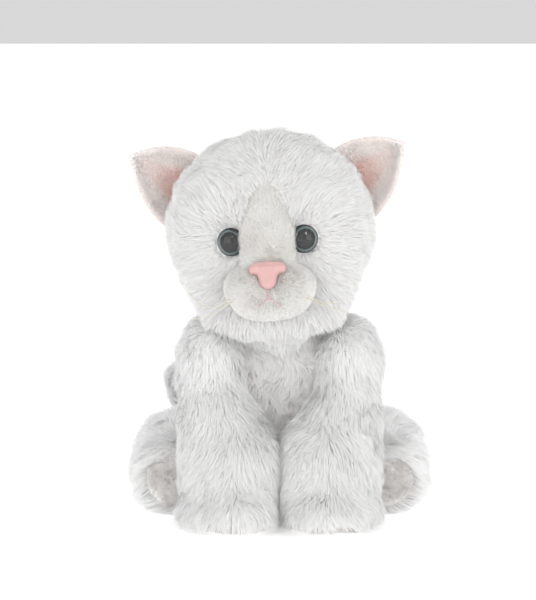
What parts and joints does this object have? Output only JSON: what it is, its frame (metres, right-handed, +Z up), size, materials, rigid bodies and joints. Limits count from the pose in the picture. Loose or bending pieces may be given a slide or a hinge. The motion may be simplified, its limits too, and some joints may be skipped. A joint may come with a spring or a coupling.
{
  "type": "plush cat",
  "caption": "Seated stuffed toy cat in white long-pile plush with a short-pile blaze, muzzle and soles, pink-lined ears, moulded eyes and nose, and soft jointed limbs, head, ears and tail.",
  "frame": {"origin": "on the flat underside of the seat, at the surface the cat sits on, straight below the middle of the shoulders", "axes": "+Z up, the cat faces -Y, +X is the cat's own left side"},
  "size_m": [0.1507, 0.1502, 0.1949],
  "materials": {
    "long_pile": "long soft pile",
    "short_pile": "short dense pile",
    "ear_pile": "short dense pile",
    "stuffing": "polyester fibre fill",
    "pouch_cloth": "plain woven",
    "pellet_plastic": "matte",
    "eye_black": "polished",
    "iris_paint": "gloss",
    "eye_clear": "polished clear",
    "washer_plastic": "matte",
    "nose_pink": "satin",
    "mouth_thread": "satin thread",
    "whisker_nylon": "satin filament",
    "seam_thread": "thread"
  },
  "bodies": {
    "torso": {"torso_panel_left": "long_pile", "torso_panel_right": "long_pile", "chest_panel": "long_pile", "seat_panel": "long_pile", "torso_stuffing": "stuffing", "pellet_pouch": "pouch_cloth", "pellets": "pellet_plastic", "back_seam_thread": "seam_thread"},
    "neck": {"neck_stuffing": "stuffing"},
    "head": {"head_panel_left": "long_pile", "head_panel_right": "long_pile", "head_back_panel": "long_pile", "chin_panel": "long_pile", "blaze_panel": "short_pile", "muzzle_panel_left": "short_pile", "muzzle_panel_right": "short_pile", "head_stuffing": "stuffing", "nose_button": "nose_pink", "nose_washer": "washer_plastic", "mouth_stitches": "mouth_thread", "whisker_upper": "whisker_nylon", "whisker_lower": "whisker_nylon", "eye_button_left": "eye_black", "eye_button_right": "eye_black", "eye_iris_left": "iris_paint", "eye_iris_right": "iris_paint", "eye_lens_left": "eye_clear", "eye_lens_right": "eye_clear", "eye_washer_left": "washer_plastic", "eye_washer_right": "washer_plastic"},
    "tail": {"tail_cover": "long_pile", "tail_stuffing": "stuffing"},
    "ear_left": {"ear_back_left": "long_pile", "ear_lining_left": "ear_pile"},
    "front_leg_left": {"front_leg_inner_panel_left": "long_pile", "front_leg_outer_panel_left": "long_pile", "paw_pad_left": "short_pile", "front_leg_stuffing_left": "stuffing"},
    "hind_leg_left": {"hind_leg_panel_left": "long_pile", "hind_sole_left": "short_pile", "hind_leg_stuffing_left": "stuffing"},
    "ear_right": {"ear_back_right": "long_pile", "ear_lining_right": "ear_pile"},
    "front_leg_right": {"front_leg_inner_panel_right": "long_pile", "front_leg_outer_panel_right": "long_pile", "paw_pad_right": "short_pile", "front_leg_stuffing_right": "stuffing"},
    "hind_leg_right": {"hind_leg_panel_right": "long_pile", "hind_sole_right": "short_pile", "hind_leg_stuffing_right": "stuffing"}
  },
  "joints": [
    {"name": "head_turn", "type": "hinge", "parent": "torso", "child": "neck", "pos_m": [-0.002, 0, 0.1], "axis": [0, 0, 1], "range_deg": [-25, 25], "stiffness_Nm_per_rad": 0.25},
    {"name": "head_nod", "type": "hinge", "parent": "neck", "child": "head", "pos_m": [-0.002, 0, 0.1], "axis": [-0.9977, 0.0436, -0.0523], "range_deg": [-8, 15], "stiffness_Nm_per_rad": 0.6},
    {"name": "tail_swing", "type": "hinge", "parent": "torso", "child": "tail", "pos_m": [-0.004, 0.0618, 0.022], "axis": [0, 0, 1], "range_deg": [-60, 4], "stiffness_Nm_per_rad": 0.05},
    {"name": "ear_left_fold", "type": "hinge", "parent": "head", "child": "ear_left", "pos_m": [0.04101, -0.00104, 0.17155], "axis": [-0.5146, 0.0205, 0.8572], "range_deg": [-25, 25], "stiffness_Nm_per_rad": 0.01},
    {"name": "front_leg_left_lift", "type": "hinge", "parent": "torso", "child": "front_leg_left", "pos_m": [0.04, -0.0175, 0.084], "axis": [-1, 0, 0], "range_deg": [0, 40], "stiffness_Nm_per_rad": 0.15},
    {"name": "hind_leg_left_splay", "type": "hinge", "parent": "torso", "child": "hind_leg_left", "pos_m": [0.0383, 0.039, 0.028], "axis": [0, 0, 1], "range_deg": [0, 25], "stiffness_Nm_per_rad": 0.1},
    {"name": "ear_right_fold", "type": "hinge", "parent": "head", "child": "ear_right", "pos_m": [-0.05217, 0.00304, 0.16667], "axis": [-0.4222, 0.0205, -0.9063], "range_deg": [-25, 25], "stiffness_Nm_per_rad": 0.01},
    {"name": "front_leg_right_lift", "type": "hinge", "parent": "torso", "child": "front_leg_right", "pos_m": [-0.04, -0.0175, 0.084], "axis": [-1, 0, 0], "range_deg": [0, 40], "stiffness_Nm_per_rad": 0.15},
    {"name": "hind_leg_right_splay", "type": "hinge", "parent": "torso", "child": "hind_leg_right", "pos_m": [-0.0383, 0.039, 0.028], "axis": [0, 0, -1], "range_deg": [0, 25], "stiffness_Nm_per_rad": 0.1}
  ]
}
